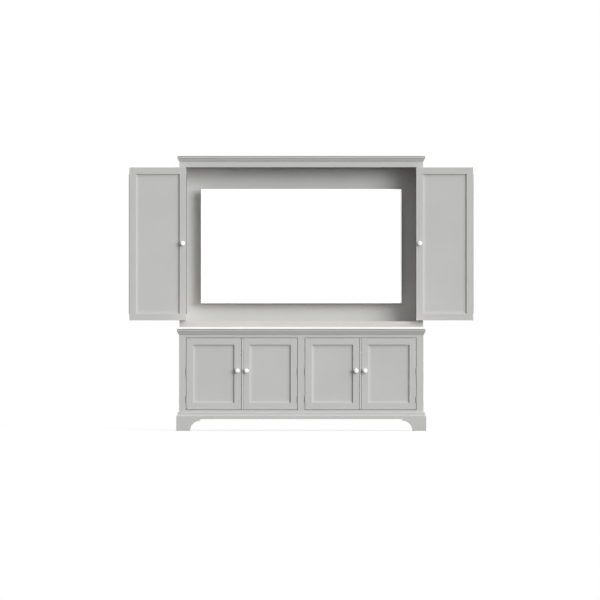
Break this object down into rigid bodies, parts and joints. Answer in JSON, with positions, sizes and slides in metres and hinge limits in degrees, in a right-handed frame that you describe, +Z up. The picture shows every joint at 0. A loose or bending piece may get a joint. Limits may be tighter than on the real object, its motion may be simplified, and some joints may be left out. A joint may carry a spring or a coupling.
{
  "type": "tv armoire",
  "caption": "Tall painted armoire: a two-bay base with framed doors on bracket feet, and a shallow hutch with folding leaves round a flat television.",
  "frame": {"origin": "on the floor, midway between the sides, and midway between the rear edges and the tips of the base knobs", "axes": "+X to the right seen from the front, +Y to the rear, +Z up"},
  "size_m": [2.4924, 0.458, 1.983],
  "materials": {
    "painted_wood": "satin grey paint",
    "carcass_board": "satin grey paint on board",
    "worktop_enamel": "white satin paint",
    "pull_enamel": "white enamel",
    "hinge_steel": "grey satin paint",
    "catch_plastic": "matt",
    "tv_shell": "matt white",
    "screen_glass": "blank white screen face",
    "bracket_steel": "black powder coat"
  },
  "bodies": {
    "cabinet": {"base_back": "carcass_board", "base_cornice": "painted_wood", "base_divider": "carcass_board", "base_face_frame": "painted_wood", "base_floor": "carcass_board", "base_hinges": "hinge_steel", "base_shelves": "carcass_board", "base_sides": "carcass_board", "base_top_board": "painted_wood", "corner_blocks": "carcass_board", "door_catches": "catch_plastic", "hutch_back": "carcass_board", "hutch_back_rails": "carcass_board", "hutch_cap": "painted_wood", "hutch_ceiling": "carcass_board", "hutch_cornice": "painted_wood", "hutch_face_frame": "painted_wood", "hutch_floor": "carcass_board", "hutch_hinges": "hinge_steel", "hutch_sides": "carcass_board", "plinth_boards": "painted_wood", "plinth_moulding": "painted_wood", "shelf_cleats": "carcass_board", "tv_bezel": "tv_shell", "tv_bracket": "bracket_steel", "tv_rear_cover": "tv_shell", "tv_screen": "screen_glass", "worktop": "worktop_enamel"},
    "base_door_1": {"base_door_1_frame": "painted_wood", "base_door_1_hardware": "pull_enamel", "base_door_1_panel": "painted_wood"},
    "base_door_2": {"base_door_2_frame": "painted_wood", "base_door_2_hardware": "pull_enamel", "base_door_2_panel": "painted_wood"},
    "base_door_3": {"base_door_3_frame": "painted_wood", "base_door_3_hardware": "pull_enamel", "base_door_3_panel": "painted_wood"},
    "base_door_4": {"base_door_4_frame": "painted_wood", "base_door_4_hardware": "pull_enamel", "base_door_4_panel": "painted_wood"},
    "left_jamb_leaf": {"left_jamb_leaf_frame": "painted_wood", "left_jamb_leaf_hinges": "hinge_steel", "left_jamb_leaf_panel": "painted_wood"},
    "left_outer_leaf": {"left_outer_leaf_frame": "painted_wood", "left_outer_leaf_hardware": "pull_enamel", "left_outer_leaf_panel": "painted_wood"},
    "right_jamb_leaf": {"right_jamb_leaf_frame": "painted_wood", "right_jamb_leaf_hinges": "hinge_steel", "right_jamb_leaf_panel": "painted_wood"},
    "right_outer_leaf": {"right_outer_leaf_frame": "painted_wood", "right_outer_leaf_hardware": "pull_enamel", "right_outer_leaf_panel": "painted_wood"}
  },
  "joints": [
    {"name": "base_door_1_hinge", "type": "hinge", "parent": "cabinet", "child": "base_door_1", "pos_m": [-0.8285, -0.205, 0.411], "axis": [0, 0, -1], "range_deg": [0, 170]},
    {"name": "base_door_2_hinge", "type": "hinge", "parent": "cabinet", "child": "base_door_2", "pos_m": [-0.0265, -0.205, 0.411], "axis": [0, 0, 1], "range_deg": [0, 90]},
    {"name": "base_door_3_hinge", "type": "hinge", "parent": "cabinet", "child": "base_door_3", "pos_m": [0.0265, -0.205, 0.411], "axis": [0, 0, -1], "range_deg": [0, 90]},
    {"name": "base_door_4_hinge", "type": "hinge", "parent": "cabinet", "child": "base_door_4", "pos_m": [0.8285, -0.205, 0.411], "axis": [0, 0, 1], "range_deg": [0, 170]},
    {"name": "left_jamb_hinge", "type": "hinge", "parent": "cabinet", "child": "left_jamb_leaf", "pos_m": [-0.8285, 0.001, 1.3475], "axis": [0, 0, 1], "range_deg": [0, 180]},
    {"name": "left_fold_hinge", "type": "hinge", "parent": "left_jamb_leaf", "child": "left_outer_leaf", "pos_m": [-1.2425, -0.029, 1.3475], "axis": [0, 0, -1], "range_deg": [0, 180]},
    {"name": "right_jamb_hinge", "type": "hinge", "parent": "cabinet", "child": "right_jamb_leaf", "pos_m": [0.8285, 0.001, 1.3475], "axis": [0, 0, -1], "range_deg": [0, 180]},
    {"name": "right_fold_hinge", "type": "hinge", "parent": "right_jamb_leaf", "child": "right_outer_leaf", "pos_m": [1.2425, -0.029, 1.3475], "axis": [0, 0, 1], "range_deg": [0, 180]}
  ]
}
